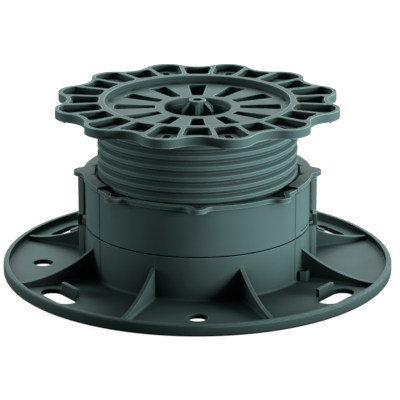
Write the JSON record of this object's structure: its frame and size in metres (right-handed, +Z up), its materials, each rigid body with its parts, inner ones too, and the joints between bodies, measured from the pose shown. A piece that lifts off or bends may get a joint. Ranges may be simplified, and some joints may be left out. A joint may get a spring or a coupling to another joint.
{
  "type": "decking pedestal",
  "caption": "Height-adjustable decking pedestal: gusseted round base with fixing slots, screw collar with a nubbed lip, and a lobed, slotted head on a threaded stem.",
  "frame": {"origin": "centre of the base's underside, on the floor", "axes": "+Z up along the stem axis, -Y towards the side the picture shows, +X to its right"},
  "size_m": [0.2, 0.2, 0.09],
  "materials": {
    "base_plastic": "satin moulded polypropylene",
    "collar_plastic": "satin moulded polypropylene",
    "head_plastic": "satin moulded polypropylene"
  },
  "bodies": {
    "base": {"base": "base_plastic"},
    "collar": {"collar": "collar_plastic"},
    "head": {"head": "head_plastic"}
  },
  "joints": [
    {"name": "collar_turn", "type": "hinge", "parent": "base", "child": "collar", "pos_m": [0, 0, 0.0258], "axis": [0, 0, 1], "range_deg": [-261, 2094]},
    {"name": "head_lift", "type": "slide", "parent": "base", "child": "head", "axis": [0, 0, 1], "range_m": [-0.032, 0.004]}
  ],
  "couplings": [
    {"joint": "head_lift", "follows": "collar_turn", "m_per_rad": -0.00087535}
  ]
}
